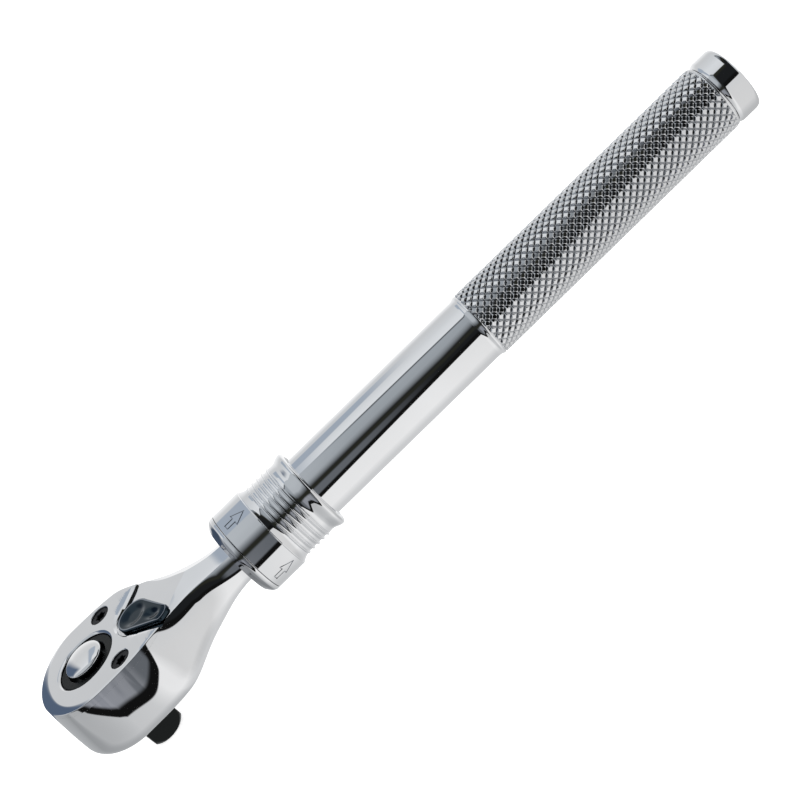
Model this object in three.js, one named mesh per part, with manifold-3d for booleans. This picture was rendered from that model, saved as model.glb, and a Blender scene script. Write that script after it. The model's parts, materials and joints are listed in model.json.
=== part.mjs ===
// Extendable quick-release ratchet wrench with a half-inch square drive.
// Origin: centre of the square drive's tip face. +X runs along the handle towards its end,
// and +Z points to the side of the release button. All sizes are in millimetres.
import * as THREE from 'three';
import { mergeVertices } from 'three/addons/utils/BufferGeometryUtils.js';
import Module from 'manifold-3d';

const wasm = await Module();
wasm.setup();

// ---- driving dimensions ----
const AXIS_Z = 27; // height of the handle's axis above the drive's tip
const GAP = 0.3; // clearance between neighbouring pieces
const ROUND_STEPS = 32; // sides of a large turned piece
const SMALL_STEPS = 16; // sides of a small turned piece
const BAR_STEPS = 20; // sides of the long bar inside the handle

// head
const HEAD_HALF_WIDTH = 22.5;
const HEAD_FRONT = 20.6; // from the drive's axis to the nose
const HEAD_TOP = 12.9; // above the handle's axis
const HEAD_BOTTOM = 13.2; // below the handle's axis
const NECK_END = 60; // where the neck meets the round bar
const NECK_RADIUS = 8.2;
const BAR_RADIUS = 8;
const SPIGOT_RADIUS = 5; // front end of the bar, pressed into the neck
const SPIGOT_X = 46;
const EDGE_INSET = 0.8; // at the nose the top edge lies this far inside the widest part of the wall
const BELLY = 2.4; // beside the drive the wall bulges out this much further
const SEAT_Z = AXIS_Z + 10.7; // flat that carries the lever and the cover plate
const PLATE_TOP = AXIS_Z + HEAD_TOP;
const PLATE_BOTTOM = SEAT_Z + GAP;
const HEAD_BASE_Z = AXIS_Z - HEAD_BOTTOM;

// drive
const SQUARE = 12.7; // half-inch drive
const SQUARE_CORNER_RADIUS = 8.8;
const DRIVE_TURN = THREE.MathUtils.degToRad(15);
const TOOTH_COUNT = 72;
const GEAR_ROOT = 12.0;
const GEAR_TIP = 12.6;
const GEAR_BOTTOM = 19.5;
const GEAR_SHOULDER = 37.4;
const BOSS_RADIUS = 10.9; // black ring round the button
const BOSS_TOP = AXIS_Z + 12;
const JOURNAL_RADIUS = 10.1;
const WASHER_BOTTOM = 18.6;
const PIN_RADIUS = 2.2;
const PIN_NECK = 1.3;
const PIN_BORE = 2.6;
const BUTTON_RADIUS = 7.3;
const BUTTON_BOTTOM = 36;
const BUTTON_EDGE = AXIS_Z + 14.2;
const BUTTON_DOME = 1.4;
const BALL_RADIUS = 2.4;
const BALL_Z = 6.5;
const BALL_PROUD = 0.9;
const PIN_LOW = 5.3;
const PIN_BORE_FLOOR = 2.5;
const BUTTON_WELL_FLOOR = 31.5;
const BUTTON_SPRING_LENGTH = 3.9;

// cover plate screws
const SCREW_X = 11;
const SCREW_Y = 15.6;
const SCREW_HEAD_RADIUS = 3.6;
const SCREW_RADIUS = 1.9;
const SCREW_TOP = AXIS_Z + 12.3;
const SCREW_END = 29;
const CONE_BOTTOM = 38.1; // countersink under the screw heads
const CONE_TOP = 38.9;
const RECESS_DEPTH = 1.6;

// lever and pawl
const NOTCH_CENTRE_X = 26.3;
const NOTCH_RADIUS = 13;
const NOTCH_FLANK = THREE.MathUtils.degToRad(51.6);
const LEVER_X = 21.5;
const LEVER_REST = THREE.MathUtils.degToRad(-54);
const LEVER_ROUND = 7.2;
const LEVER_LENGTH = 16.6;
const LEVER_TIP_HALF_WIDTH = 4.1;
const LEVER_BOTTOM = SEAT_Z + GAP;
const LEVER_TOP = AXIS_Z + 12.7;
const SHAFT_RADIUS = 3.5;
const SHAFT_END = 22;
const PAWL_X = 14.9;
const PAWL_ROCK = THREE.MathUtils.degToRad(4.1); // each way from the middle
const PAWL_BOTTOM = 24.6;
const PAWL_TOP = 34;
const PAWL_BACK_RADIUS = 5.5; // hollow in the pawl's back, about the lever's axis
const PAWL_PIN_RADIUS = 1;
const PLUNGER_Z = 29.3;
const PLUNGER_RADIUS = 1.5;
const SEAL_Z = 36.1; // middle of the seal's groove
const SEAL_RADIUS = 4.2;
const CLIP_Z = 23.3; // middle of the retaining ring's groove
const CLIP_RADIUS = 4.3;

// lock collar and handle
const NOSE_X = 57.6;
const COLLAR_X = 61.5;
const COLLAR_RADIUS = 15.9;
const COLLAR_END = 91.8;
const LOCK_BALL_X = 70;
const LOCK_BALL_RADIUS = 1.9;
const LOCK_BALL_AT = 8.75; // distance of a ball's centre from the bar's axis
const LOCK_BALL_COUNT = 4;
const EXTENSION = 140;
const LOCK_STEPS = 6; // the bar has one more groove than this
const GROOVE_HALF_WIDTH = 2.5;
const GROOVE_ROOT = 6.5;
const SHOULDER_X = 74; // inner lip of the collar, where its spring pushes
const HOUSING_RADIUS = 10.5;
const HOUSING_END = 98;
const RING_BORE = 9.9; // of the nose ring, on the housing's front end
const BAR_BORE = 8.3;
const TUBE_X = 84.5;
const TUBE_RADIUS = 11.9;
const TUBE_BORE = 10.1;
const GRIP_X = 167;
const GRIP_RADIUS = 12.5;
const CAP_X = 275;
const HANDLE_END = 284;
const STOP_X = 239.3;
const STOP_LENGTH = 3;
const STOP_GROOVE_ROOT = 7.2;
const BAR_END = 246;
const CAP_PLUG_X = 264; // inner end of the cap's plug

// ---- materials ----
function metal(colour, roughness) {
  return new THREE.MeshStandardMaterial({ color: colour, roughness, metalness: 1 });
}
const CHROME = metal(0xdfe3e8, 0.06);
const BLACK_OXIDE = metal(0x1b1c1e, 0.35);
const LEVER_GREY = metal(0x2c343d, 0.2);
const BARE_STEEL = metal(0xa9abad, 0.3);
const SPRING_STEEL = metal(0x8c8d8f, 0.35);
const SEAL_RUBBER = new THREE.MeshStandardMaterial({ color: 0x141414, roughness: 0.8, metalness: 0 });

// ---- solids ----
function signedVolume(position, triangles) {
  const corner = (index) => new THREE.Vector3().fromArray(position, 3 * index);
  let volume = 0;
  for (let i = 0; i < triangles.length; i += 3) {
    const cross = corner(triangles[i + 1]).cross(corner(triangles[i + 2]));
    volume += corner(triangles[i]).dot(cross) / 6;
  }
  return volume;
}

// A closed geometry as a manifold solid, with its vertices merged and its faces pointing out
function solid(geometry) {
  const bare = geometry.clone();
  bare.deleteAttribute('normal');
  bare.deleteAttribute('uv');
  const merged = mergeVertices(bare, 1e-4);
  const position = merged.attributes.position.array;
  const triangles = [];
  for (let i = 0; i < merged.index.count; i += 3) {
    const [a, b, c] = merged.index.array.slice(i, i + 3);
    if (a !== b && b !== c && c !== a) {
      triangles.push(a, b, c);
    }
  }
  if (signedVolume(position, triangles) < 0) {
    triangles.reverse();
  }
  const vertProperties = new Float32Array(position);
  const triVerts = new Uint32Array(triangles);
  return new wasm.Manifold(new wasm.Mesh({ numProp: 3, vertProperties, triVerts }));
}

// Solid of revolution about +X or +Z from points of [radius, distance along the axis]
function turned(points, axis, steps = ROUND_STEPS) {
  const outline = points.map(([radius, along]) => new THREE.Vector2(radius, along));
  const geometry = new THREE.LatheGeometry(outline, steps);
  if (axis === 'x') {
    geometry.rotateZ(-Math.PI / 2);
    geometry.translate(0, 0, AXIS_Z);
  } else {
    geometry.rotateX(Math.PI / 2);
  }
  return geometry;
}

// A turned ring or tube, whose outline closes on itself
function turnedRing(points, axis, steps = ROUND_STEPS) {
  return turned([...points, points[0]], axis, steps);
}

function disc(radius, low, high, axis, steps = ROUND_STEPS) {
  return turned([[0, low], [radius, low], [radius, high], [0, high]], axis, steps);
}

function washer(inner, outer, low, high, axis, steps = ROUND_STEPS) {
  return turnedRing([[inner, low], [outer, low], [outer, high], [inner, high]], axis, steps);
}

function prism(points, low, high) {
  const shape = new THREE.Shape(points.map(([x, y]) => new THREE.Vector2(x, y)));
  const geometry = new THREE.ExtrudeGeometry(shape, { depth: high - low, bevelEnabled: false });
  return geometry.translate(0, 0, low);
}

function box(low, high) {
  const size = high.map((value, i) => value - low[i]);
  const middle = high.map((value, i) => (value + low[i]) / 2);
  return new THREE.BoxGeometry(...size).translate(...middle);
}

// A compression spring: a round wire wound about +Z, then placed by the caller
function spring(coilRadius, wireRadius, length, turns) {
  const wire = new THREE.Shape();
  wire.absarc(0, 0, wireRadius, 0, 2 * Math.PI);
  class Helix extends THREE.Curve {
    getPoint(t, target = new THREE.Vector3()) {
      const angle = 2 * Math.PI * turns * t;
      const height = wireRadius + (length - 2 * wireRadius) * t;
      return target.set(coilRadius * Math.cos(angle), coilRadius * Math.sin(angle), height);
    }
  }
  const steps = Math.round(9 * turns);
  return new THREE.ExtrudeGeometry(wire, { steps, curveSegments: 3, extrudePath: new Helix() });
}

function ball(radius, x, y, z) {
  return new THREE.SphereGeometry(radius, 12, 7).translate(x, y, z);
}

function cut(body, ...tools) {
  return tools.reduce((rest, tool) => rest.subtract(solid(tool)), body);
}

function geometryOf(shape) {
  const { vertProperties, triVerts } = shape.getMesh();
  const geometry = new THREE.BufferGeometry();
  geometry.setAttribute('position', new THREE.BufferAttribute(new Float32Array(vertProperties), 3));
  geometry.setIndex(new THREE.BufferAttribute(new Uint32Array(triVerts), 1));
  return geometry;
}

const group = new THREE.Group();

function addPiece(name, shape, material) {
  const geometry = geometryOf(shape);
  geometry.computeVertexNormals();
  const mesh = new THREE.Mesh(geometry, material);
  mesh.name = name;
  group.add(mesh);
}

// ---- outer form of the head and neck ----
function smoothStep(low, high, value) {
  const t = THREE.MathUtils.clamp((value - low) / (high - low), 0, 1);
  return t * t * (3 - 2 * t);
}

// Half-width of the head without its belly, falling in one S-curve to the neck's radius
function halfWidth(x) {
  const fall = (1 + Math.cos(Math.PI * (x / NECK_END) ** 1.5)) / 2;
  return NECK_RADIUS + (HEAD_HALF_WIDTH - NECK_RADIUS) * fall ** 1.45;
}

// A height that follows the head's where the head is wide and the half-width at the neck
function height(limit, width) {
  return (limit ** -8 + width ** -8) ** (-1 / 8);
}

// Half of the head's section, from the top's middle to the bottom's middle.
// front is 0 beside the drive and 1 at the nose, where the top edge is bevelled most.
function headSection(width, top, bottom, front) {
  const side = 1 - front ** 2;
  const drop = 0.25 + 0.9 * front ** 2;
  const bevel = 1 + 3 * front ** 2;
  const edge = width - EDGE_INSET;
  const points = [[0, top], [0.6 * edge, top]];
  for (const t of [0, 0.35, 0.7, 1]) {
    points.push([edge - bevel * (1 - t), top - drop * t * t]);
  }
  const widest = width + BELLY * side;
  const rounding = bottom * (0.42 + 0.33 * side);
  const wallTop = top - drop;
  const wallBottom = rounding - bottom;
  for (const t of [0.25, 0.5, 0.75]) {
    points.push([widest - (widest - edge) * (1 - t) ** 2, wallTop + (wallBottom - wallTop) * t]);
  }
  for (const angle of [0, 22.5, 45, 67.5, 90]) {
    const turn = THREE.MathUtils.degToRad(angle);
    points.push([
      widest - rounding * (1 - Math.cos(turn)),
      wallBottom - rounding * Math.sin(turn),
    ]);
  }
  points.push([0.5 * (widest - rounding), -bottom], [0, -bottom]);
  return points;
}

// The same section drawn towards an ellipse by round, from 0 to 1
function blendedSection(width, top, bottom, front, round) {
  return headSection(width, top, bottom, front).map(([y, z]) => {
    const reach = z > 0 ? top : bottom;
    const angle = Math.atan2(z / reach, y / width);
    const ellipse = [width * Math.cos(angle), reach * Math.sin(angle)];
    return [y + (ellipse[0] - y) * round, z + (ellipse[1] - z) * round];
  });
}

// Closed rings of the head's skin: a fan of half-sections round the nose, then sections along X
function headRings() {
  const rings = [];
  const addRing = (section, place) => {
    const right = section.map(([reach, z]) => place(reach, z, 1));
    const left = section.map(([reach, z]) => place(reach, z, -1));
    rings.push([...right, ...left.reverse()]);
  };
  for (let step = 10; step > 0; step -= 1) {
    const angle = (Math.PI / 2) * (1 + step / 10);
    const [along, across] = [Math.cos(angle), Math.sin(angle)];
    const width = 1 / Math.hypot(along / HEAD_FRONT, across / HEAD_HALF_WIDTH);
    const section = headSection(width, HEAD_TOP, HEAD_BOTTOM, -along);
    addRing(section, (reach, z, side) => [reach * along, side * reach * across, AXIS_Z + z]);
  }
  for (let x = 0; x <= NECK_END; x += 4) {
    const width = halfWidth(x);
    const top = height(HEAD_TOP, width);
    const bottom = height(HEAD_BOTTOM, width);
    const section = blendedSection(width, top, bottom, 0, smoothStep(17, 46, x));
    addRing(section, (reach, z, side) => [x, side * reach, AXIS_Z + z]);
  }
  return rings;
}

function headForm() {
  const rings = headRings();
  const size = rings[0].length;
  const position = rings.flat(2);
  const index = [];
  for (let ring = 0; ring + 1 < rings.length; ring += 1) {
    for (let i = 0; i < size; i += 1) {
      const [a, b] = [ring * size + i, ring * size + ((i + 1) % size)];
      index.push(a, b, b + size, a, b + size, a + size);
    }
  }
  const last = (rings.length - 1) * size;
  position.push(NECK_END, 0, AXIS_Z);
  for (let i = 0; i < size; i += 1) {
    index.push(last + i, last + ((i + 1) % size), last + size);
  }
  const geometry = new THREE.BufferGeometry();
  geometry.setAttribute('position', new THREE.Float32BufferAttribute(position, 3));
  geometry.setIndex(index);
  return solid(geometry);
}

// ---- bar and head body ----
const lockGrooves = [];
for (let step = 0; step <= LOCK_STEPS; step += 1) {
  lockGrooves.push(LOCK_BALL_X + (step * EXTENSION) / LOCK_STEPS);
}

// A round bar with a spigot in front, a groove for each locking position and one for its stop ring
function slideBar() {
  const start = NECK_END + GAP;
  const outline = [[0, SPIGOT_X], [SPIGOT_RADIUS, SPIGOT_X], [SPIGOT_RADIUS, start], [BAR_RADIUS, start]];
  for (const x of lockGrooves) {
    outline.push([BAR_RADIUS, x - GROOVE_HALF_WIDTH], [GROOVE_ROOT, x], [BAR_RADIUS, x + GROOVE_HALF_WIDTH]);
  }
  const [stopStart, stopEnd] = [STOP_X - GAP, STOP_X + STOP_LENGTH + GAP];
  outline.push([BAR_RADIUS, stopStart], [STOP_GROOVE_ROOT, stopStart]);
  outline.push([STOP_GROOVE_ROOT, stopEnd], [BAR_RADIUS, stopEnd]);
  outline.push([BAR_RADIUS, BAR_END - 1], [BAR_RADIUS - 1, BAR_END], [0, BAR_END]);
  return solid(turned(outline, 'x', BAR_STEPS));
}

const pawlPocket = [[6, -10.8], [18.5, -10.8], [20, -7], [20, 7], [18.5, 10.8], [6, 10.8]];

// A round hole along Z about the lever's axis
function leverBore(radius, low, high) {
  return disc(radius, low, high, 'z', SMALL_STEPS).translate(LEVER_X, 0, 0);
}

function screwHole(side) {
  return disc(SCREW_RADIUS + 0.2, SCREW_END - 1, SEAT_Z + 1, 'z', SMALL_STEPS)
    .translate(SCREW_X, side * SCREW_Y, 0);
}

function headBody(form) {
  const top = SEAT_Z + 1;
  return cut(
    form,
    box([-30, -30, SEAT_Z], [NECK_END - 8, 30, SEAT_Z + 20]),
    disc(SPIGOT_RADIUS + GAP, SPIGOT_X - GAP, NECK_END + 1, 'x', BAR_STEPS),
    disc(GEAR_TIP + GAP, WASHER_BOTTOM - GAP, top, 'z'),
    disc(JOURNAL_RADIUS + GAP, HEAD_BASE_Z - 1, WASHER_BOTTOM, 'z'),
    prism(pawlPocket, PAWL_BOTTOM - GAP, PAWL_TOP + GAP),
    leverBore(SHAFT_RADIUS + 0.15, SHAFT_END - 1, top),
    leverBore(PAWL_BACK_RADIUS - 0.2, PLUNGER_Z - 2, PLUNGER_Z + 2),
    leverBore(SEAL_RADIUS + 0.7, SEAL_Z - 0.7, SEAL_Z + 0.7),
    leverBore(CLIP_RADIUS + GAP, CLIP_Z - 0.6, CLIP_Z + 0.6),
    disc(PAWL_PIN_RADIUS + GAP, PAWL_BOTTOM - 2, PAWL_TOP + 2, 'z', SMALL_STEPS).translate(PAWL_X, 0, 0),
    screwHole(1),
    screwHole(-1),
  );
}

// ---- cover plate and its screws ----
function notchOutline() {
  const start = Math.PI / 2 + NOTCH_FLANK;
  const end = 2 * Math.PI - start;
  const points = [];
  for (let step = 0; step <= 12; step += 1) {
    const angle = start + ((end - start) * step) / 12;
    points.push([NOTCH_CENTRE_X + NOTCH_RADIUS * Math.cos(angle), NOTCH_RADIUS * Math.sin(angle)]);
  }
  const reach = 40;
  const [x, y] = points[0];
  const far = [x + reach * Math.cos(NOTCH_FLANK), y + reach * Math.sin(NOTCH_FLANK)];
  return [far, ...points, [far[0], -far[1]], [80, -far[1]], [80, far[1]]];
}

function plateScrewHole(side) {
  const [wide, narrow] = [SCREW_HEAD_RADIUS + GAP, SCREW_RADIUS + 0.5];
  const [low, high] = [SEAT_Z - 1, PLATE_TOP + 1];
  const outline = [[0, low], [narrow, low], [narrow, CONE_BOTTOM], [wide, CONE_TOP], [wide, high], [0, high]];
  return turned(outline, 'z', SMALL_STEPS).translate(SCREW_X, side * SCREW_Y, 0);
}

function facePlate(form) {
  const slab = solid(box([-30, -30, PLATE_BOTTOM], [30, 30, PLATE_TOP + 5]));
  const bossHole = BOSS_RADIUS + 0.4;
  const chamfer = [[0, SEAT_Z - 1], [bossHole, SEAT_Z - 1]];
  chamfer.push([bossHole, PLATE_TOP - 0.6], [bossHole + 1, PLATE_TOP + 0.4], [0, PLATE_TOP + 0.4]);
  return cut(
    form.intersect(slab),
    prism(notchOutline(), 30, 50),
    turned(chamfer, 'z'),
    plateScrewHole(1),
    plateScrewHole(-1),
  );
}

// Outline of a six-lobe driver recess
function sixLobes(radius) {
  const points = [];
  for (let step = 0; step < 24; step += 1) {
    const angle = (2 * Math.PI * step) / 24;
    const reach = radius * (0.86 + 0.14 * Math.cos(6 * angle));
    points.push([reach * Math.cos(angle), reach * Math.sin(angle)]);
  }
  return points;
}

function faceScrew(side) {
  const outline = [[0, SCREW_END], [SCREW_RADIUS, SCREW_END], [SCREW_RADIUS, CONE_BOTTOM]];
  outline.push([SCREW_HEAD_RADIUS, CONE_TOP], [SCREW_HEAD_RADIUS, SCREW_TOP], [0, SCREW_TOP]);
  const screw = turned(outline, 'z', SMALL_STEPS).translate(SCREW_X, side * SCREW_Y, 0);
  const recess = prism(sixLobes(2), SCREW_TOP - RECESS_DEPTH, SCREW_TOP + 1);
  return cut(solid(screw), recess.translate(SCREW_X, side * SCREW_Y, 0));
}

// ---- drive gear ----
function gearOutline(growth) {
  const points = [];
  for (let step = 0; step < 2 * TOOTH_COUNT; step += 1) {
    const angle = (Math.PI * step) / TOOTH_COUNT;
    const radius = growth + (step % 2 === 0 ? GEAR_TIP : GEAR_ROOT);
    points.push([radius * Math.cos(angle), radius * Math.sin(angle)]);
  }
  return points;
}

function squareDrive() {
  const half = SQUARE / 2;
  const bar = box([-half, -half, 0], [half, half, GEAR_BOTTOM - 2]).rotateZ(DRIVE_TURN);
  const corner = SQUARE_CORNER_RADIUS;
  const tip = [[0, 0], [6.2, 0], [7.3, 0.7], [8.2, 2.2], [corner, 4.5]];
  tip.push([corner, GEAR_BOTTOM], [0, GEAR_BOTTOM]);
  return solid(bar).intersect(solid(turned(tip, 'z')));
}

function driveGear() {
  const journalEnd = HEAD_BASE_Z - 0.6;
  const hub = GEAR_ROOT - 0.4;
  const outline = [[0, journalEnd], [JOURNAL_RADIUS - 0.5, journalEnd], [JOURNAL_RADIUS, HEAD_BASE_Z]];
  outline.push([JOURNAL_RADIUS, GEAR_BOTTOM], [hub, GEAR_BOTTOM], [hub, GEAR_SHOULDER]);
  outline.push([BOSS_RADIUS, GEAR_SHOULDER], [BOSS_RADIUS, BOSS_TOP], [0, BOSS_TOP]);
  const teeth = prism(gearOutline(0), GEAR_BOTTOM + 1, GEAR_SHOULDER - 1);
  const ballHole = disc(BALL_RADIUS + 0.15, 0, 10, 'z', SMALL_STEPS)
    .rotateX(-Math.PI / 2)
    .translate(0, 0, BALL_Z)
    .rotateZ(DRIVE_TURN);
  return cut(
    solid(turned(outline, 'z')).add(solid(teeth)).add(squareDrive()),
    disc(PIN_BORE, PIN_BORE_FLOOR, BUTTON_WELL_FLOOR + 1, 'z', SMALL_STEPS),
    disc(BUTTON_RADIUS + 0.6, BUTTON_WELL_FLOOR, BOSS_TOP + 1, 'z'),
    ballHole,
  );
}

// The washer under the gear's teeth
function thrustWasher() {
  return solid(washer(10.7, 12.5, WASHER_BOTTOM, WASHER_BOTTOM + 0.6, 'z'));
}

// ---- quick release ----
function releaseButton() {
  const outline = [[0, BUTTON_BOTTOM], [BUTTON_RADIUS - 0.4, BUTTON_BOTTOM]];
  outline.push([BUTTON_RADIUS, BUTTON_BOTTOM + 0.4], [BUTTON_RADIUS, BUTTON_EDGE]);
  for (const angle of [20, 40, 60, 75, 90]) {
    const turn = THREE.MathUtils.degToRad(angle);
    outline.push([BUTTON_RADIUS * Math.cos(turn), BUTTON_EDGE + BUTTON_DOME * Math.sin(turn)]);
  }
  outline[outline.length - 1][0] = 0;
  return solid(turned(outline, 'z'));
}

// A stem with a full end that backs the ball and a narrow neck above it
function releasePin() {
  const top = BUTTON_BOTTOM - GAP;
  const outline = [[0, PIN_LOW], [PIN_RADIUS, PIN_LOW], [PIN_RADIUS, PIN_LOW + 1.3]];
  outline.push([PIN_NECK, PIN_LOW + 2.5], [PIN_NECK, PIN_LOW + 6.2], [PIN_RADIUS, PIN_LOW + 7.1]);
  outline.push([PIN_RADIUS, top], [0, top]);
  return solid(turned(outline, 'z', SMALL_STEPS));
}

function buttonSpring() {
  return solid(spring(4.2, 0.4, BUTTON_SPRING_LENGTH, 3).translate(0, 0, BUTTON_WELL_FLOOR + GAP));
}

function detentBall() {
  const reach = SQUARE / 2 + BALL_PROUD - BALL_RADIUS;
  return solid(ball(BALL_RADIUS, 0, reach, BALL_Z).rotateZ(DRIVE_TURN));
}

// ---- reversing lever, pawl and their small parts ----
// Outline of the lever along +X from its pivot: a round end that tapers to a blunt tip
function leverOutline() {
  const points = [];
  for (let angle = 70; angle <= 290; angle += 20) {
    const turn = THREE.MathUtils.degToRad(angle);
    points.push([LEVER_ROUND * Math.cos(turn), LEVER_ROUND * Math.sin(turn)]);
  }
  const tip = [];
  for (let angle = -60; angle <= 60; angle += 30) {
    const turn = THREE.MathUtils.degToRad(angle);
    tip.push([LEVER_LENGTH - 2.6 + 2.6 * Math.cos(turn), LEVER_TIP_HALF_WIDTH * Math.sin(turn) * 1.1]);
  }
  return [...points, ...tip];
}

function onLever(geometry) {
  return geometry.rotateZ(LEVER_REST).translate(LEVER_X, 0, 0);
}

function reverseLever() {
  const blade = solid(onLever(prism(leverOutline(), LEVER_BOTTOM, LEVER_TOP)));
  const [low, high, root] = [CLIP_Z - 0.5, CLIP_Z + 0.5, SHAFT_RADIUS - 0.5];
  const outline = [[0, SHAFT_END], [SHAFT_RADIUS, SHAFT_END], [SHAFT_RADIUS, low], [root, low]];
  outline.push([root, high], [SHAFT_RADIUS, high], [SHAFT_RADIUS, LEVER_BOTTOM + 0.5]);
  outline.push([0, LEVER_BOTTOM + 0.5]);
  const shaft = solid(onLever(turned(outline, 'z', SMALL_STEPS)));
  const plungerHole = disc(PLUNGER_RADIUS + 0.15, -4, 2.2, 'x', SMALL_STEPS);
  return cut(blade.add(shaft), onLever(plungerHole.translate(0, 0, PLUNGER_Z - AXIS_Z)));
}

function leverSeal() {
  return solid(new THREE.TorusGeometry(SEAL_RADIUS, 0.5, 6, SMALL_STEPS).translate(LEVER_X, 0, SEAL_Z));
}

function leverRetainingRing() {
  const ring = washer(SHAFT_RADIUS - 0.35, CLIP_RADIUS, CLIP_Z - 0.3, CLIP_Z + 0.3, 'z', SMALL_STEPS);
  return solid(ring.translate(LEVER_X, 0, 0));
}

function leverPlunger() {
  const outline = [[0, -4.7], [0.9, -4.4], [PLUNGER_RADIUS, -3.6], [PLUNGER_RADIUS, -1], [0, -1]];
  return solid(onLever(turned(outline, 'x', SMALL_STEPS).translate(0, 0, PLUNGER_Z - AXIS_Z)));
}

function plungerSpring() {
  const coil = spring(1.05, 0.25, 2.8, 3).rotateY(Math.PI / 2).translate(-0.8, 0, PLUNGER_Z);
  return solid(onLever(coil));
}

// The pawl's blank in its middle position, round the gear on one side and the plunger on the other
function pawlOutline() {
  const points = [];
  const inner = GEAR_TIP + 0.12;
  for (let angle = -48; angle <= 48; angle += 6) {
    const turn = THREE.MathUtils.degToRad(angle);
    points.push([inner * Math.cos(turn) - 0.25, inner * Math.sin(turn)]);
  }
  const back = PAWL_BACK_RADIUS;
  points.push([13, 10.2], [17.6, 9.8]);
  for (let angle = 125; angle <= 235; angle += 11) {
    const turn = THREE.MathUtils.degToRad(angle);
    points.push([LEVER_X + back * Math.cos(turn), back * Math.sin(turn)]);
  }
  points.push([17.6, -9.8], [13, -10.2]);
  return points;
}

function aboutPawlPin(geometry, angle) {
  return geometry.translate(-PAWL_X, 0, 0).rotateZ(angle).translate(PAWL_X, 0, 0);
}

// The gear, swept through the pawl's whole rocking movement, leaves teeth at both of its ends.
// At rest the pawl is rocked fully towards the side of the lever's tip.
function pawl() {
  let shape = solid(prism(pawlOutline(), PAWL_BOTTOM, PAWL_TOP));
  for (let step = -5; step <= 5; step += 1) {
    const gear = prism(gearOutline(0.13), PAWL_BOTTOM - 1, PAWL_TOP + 1);
    shape = shape.subtract(solid(aboutPawlPin(gear, (PAWL_ROCK * step) / 5)));
  }
  const pinHole = disc(PAWL_PIN_RADIUS + 0.15, PAWL_BOTTOM - 1, PAWL_TOP + 1, 'z', SMALL_STEPS);
  const middle = cut(shape, pinHole.translate(PAWL_X, 0, 0));
  return solid(aboutPawlPin(geometryOf(middle), PAWL_ROCK));
}

function pawlPin() {
  const pin = disc(PAWL_PIN_RADIUS, PAWL_BOTTOM - 1.5, PAWL_TOP + 1.5, 'z', SMALL_STEPS);
  return solid(pin.translate(PAWL_X, 0, 0));
}

// ---- lock collar ----
function noseRing() {
  const [mouth, end] = [NECK_RADIUS + GAP, COLLAR_X - GAP];
  return solid(turnedRing([
    [mouth, NOSE_X], [13.4, NOSE_X], [COLLAR_RADIUS - 0.5, NOSE_X + 1.6], [COLLAR_RADIUS, NOSE_X + 2.4],
    [COLLAR_RADIUS, end], [RING_BORE, end], [RING_BORE, NOSE_X + 1.4], [mouth, NOSE_X + 1.4],
  ], 'x'));
}

// A sleeve with a plain band, five finger ribs and a flared lip. Its inner lip holds the balls down.
function releaseCollar() {
  const lip = HOUSING_RADIUS + 0.4;
  const outline = [[12.4, COLLAR_X], [COLLAR_RADIUS, COLLAR_X], [COLLAR_RADIUS, 72.8]];
  outline.push([COLLAR_RADIUS - 0.35, 73.1], [COLLAR_RADIUS - 0.35, 73.5], [14.9, 76]);
  for (let rib = 0; rib < 5; rib += 1) {
    const x = 76.6 + rib * 2;
    outline.push([14.4, x], [14.9, x + 1]);
  }
  outline.push([14.4, 86.6], [14.9, 88.6], [15.4, 90.4], [15.2, COLLAR_END - 0.4], [14.6, COLLAR_END]);
  outline.push([13.6, COLLAR_END], [12.7, COLLAR_END - 2], [12.7, SHOULDER_X], [lip, SHOULDER_X]);
  outline.push([lip, SHOULDER_X - 5], [12.4, SHOULDER_X - 7.1]);
  return solid(turnedRing(outline, 'x'));
}

function lockHousing() {
  const [front, plug] = [RING_BORE - GAP, TUBE_BORE - GAP];
  const body = solid(turnedRing([
    [BAR_BORE, NECK_END + GAP], [front, NECK_END + GAP], [front, COLLAR_X], [HOUSING_RADIUS, COLLAR_X],
    [HOUSING_RADIUS, TUBE_X - GAP], [plug, TUBE_X - GAP], [plug, HOUSING_END], [BAR_BORE, HOUSING_END],
  ], 'x'));
  const holes = [];
  for (let i = 0; i < LOCK_BALL_COUNT; i += 1) {
    const hole = disc(LOCK_BALL_RADIUS + 0.1, 6, 12, 'z', SMALL_STEPS)
      .rotateX((2 * Math.PI * i) / LOCK_BALL_COUNT)
      .translate(LOCK_BALL_X, 0, AXIS_Z);
    holes.push(hole);
  }
  return cut(body, ...holes);
}

function collarSpring() {
  const length = TUBE_X - SHOULDER_X - 2 * GAP;
  const coil = spring(11.7, 0.45, length, 3).rotateY(Math.PI / 2);
  return solid(coil.translate(SHOULDER_X + GAP, 0, AXIS_Z));
}

function lockBall(number) {
  return solid(ball(LOCK_BALL_RADIUS, 0, 0, LOCK_BALL_AT)
    .rotateX((2 * Math.PI * number) / LOCK_BALL_COUNT)
    .translate(LOCK_BALL_X, 0, AXIS_Z));
}

function barStopRing() {
  const bore = STOP_GROOVE_ROOT + GAP;
  return solid(washer(bore, TUBE_BORE - GAP, STOP_X, STOP_X + STOP_LENGTH, 'x'));
}

// ---- handle ----
function handleTube() {
  return solid(turnedRing([
    [TUBE_BORE, TUBE_X], [TUBE_RADIUS - 0.3, TUBE_X], [TUBE_RADIUS, TUBE_X + 0.5], [TUBE_RADIUS, GRIP_X],
    [GRIP_RADIUS, GRIP_X + 1.2], [GRIP_RADIUS, CAP_X - 1], [GRIP_RADIUS - 0.6, CAP_X - GAP],
    [TUBE_BORE, CAP_X - GAP],
  ], 'x'));
}

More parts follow.
